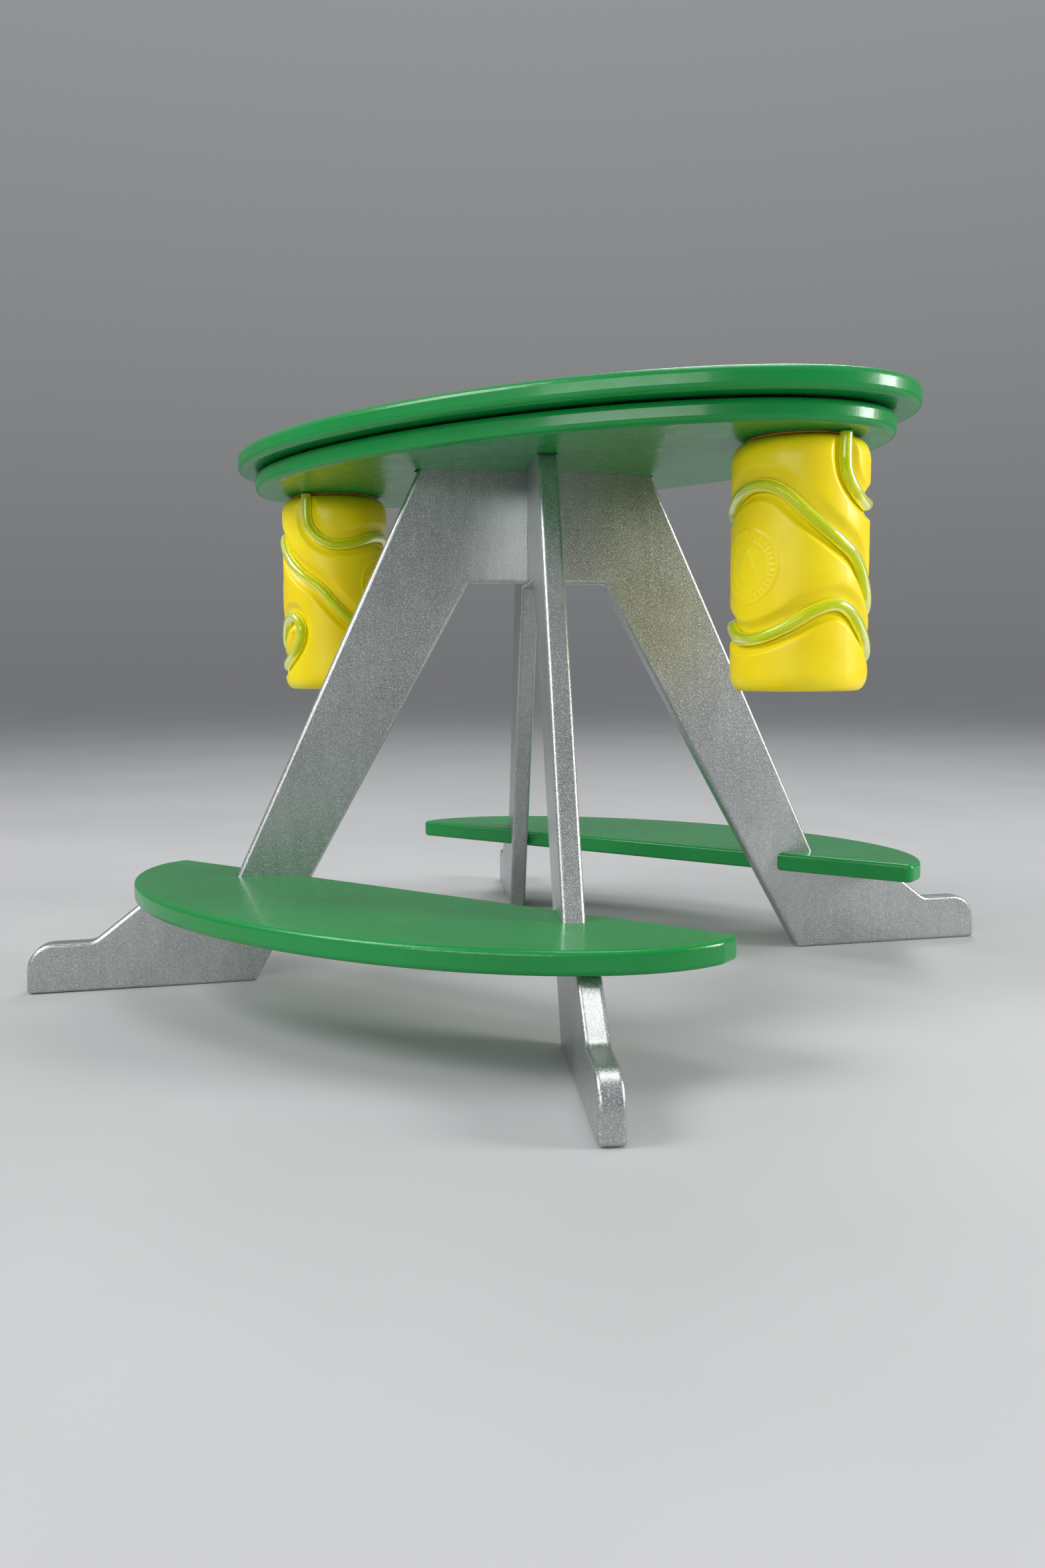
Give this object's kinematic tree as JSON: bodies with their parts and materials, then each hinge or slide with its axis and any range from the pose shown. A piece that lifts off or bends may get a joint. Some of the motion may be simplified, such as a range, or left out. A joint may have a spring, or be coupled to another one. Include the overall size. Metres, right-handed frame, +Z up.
{
  "type": "merry go round",
  "caption": "Low oval stand with a turning top, two crossed board legs, two D-shaped benches, and two straw bottles hanging under its ends.",
  "frame": {"origin": "on the floor under the middle of the turning top", "axes": "+X along the ovals towards the right bottle, +Y across them towards the rear bench, +Z up"},
  "size_m": [0.484, 0.4836, 0.3406],
  "materials": {
    "green_paint": "semi-gloss green paint on board, rolled",
    "silver_paint": "satin silver metallic paint on board",
    "dowel_wood": "raw beech",
    "screw_steel": "zinc plated",
    "plate_steel": "zinc plated sheet",
    "nylon": "natural nylon",
    "bottle_plastic": "satin yellow blow-moulded plastic",
    "straw_plastic": "glossy translucent lime",
    "cap_plastic": "moulded orange",
    "liner_foam": "white foam"
  },
  "bodies": {
    "frame": {"leg_panel_a": "silver_paint", "leg_panel_b": "silver_paint", "bench_front": "green_paint", "bench_rear": "green_paint", "bench_dowels_front": "dowel_wood", "bench_dowels_rear": "dowel_wood", "under_board": "green_paint", "under_board_screws": "screw_steel", "bearing_lower_plate": "plate_steel", "lower_plate_screws": "screw_steel"},
    "turning_top": {"top_board": "green_paint", "bearing_upper_plate": "plate_steel", "upper_plate_screws": "screw_steel"},
    "ball_ring": {"bearing_balls": "screw_steel", "bearing_cage": "nylon"},
    "cap_left": {"cap_left": "cap_plastic", "cap_liner_left": "liner_foam"},
    "cap_right": {"cap_right": "cap_plastic", "cap_liner_right": "liner_foam"},
    "bottle_left": {"bottle_left": "bottle_plastic", "straw_left": "straw_plastic"},
    "bottle_right": {"bottle_right": "bottle_plastic", "straw_right": "straw_plastic"}
  },
  "joints": [
    {"name": "top_spin", "type": "hinge", "parent": "frame", "child": "turning_top", "pos_m": [0, 0, 0.3278], "axis": [0, 0, 1], "continuous": true},
    {"name": "ball_ring_spin", "type": "hinge", "parent": "frame", "child": "ball_ring", "pos_m": [0, 0, 0.3278], "axis": [0, 0, 1], "continuous": true},
    {"name": "cap_left_turn", "type": "hinge", "parent": "frame", "child": "cap_left", "pos_m": [-0.179, 0, 0.32], "axis": [0, 0, 1], "range_deg": [0, 270]},
    {"name": "bottle_left_drop", "type": "slide", "parent": "frame", "child": "bottle_left", "axis": [0, 0, -1], "range_m": [0, 0.02]},
    {"name": "cap_right_turn", "type": "hinge", "parent": "frame", "child": "cap_right", "pos_m": [0.179, 0, 0.32], "axis": [0, 0, 1], "range_deg": [0, 270]},
    {"name": "bottle_right_drop", "type": "slide", "parent": "frame", "child": "bottle_right", "axis": [0, 0, -1], "range_m": [0, 0.02]}
  ],
  "couplings": [
    {"joint": "ball_ring_spin", "follows": "top_spin", "ratio": 0.5}
  ]
}
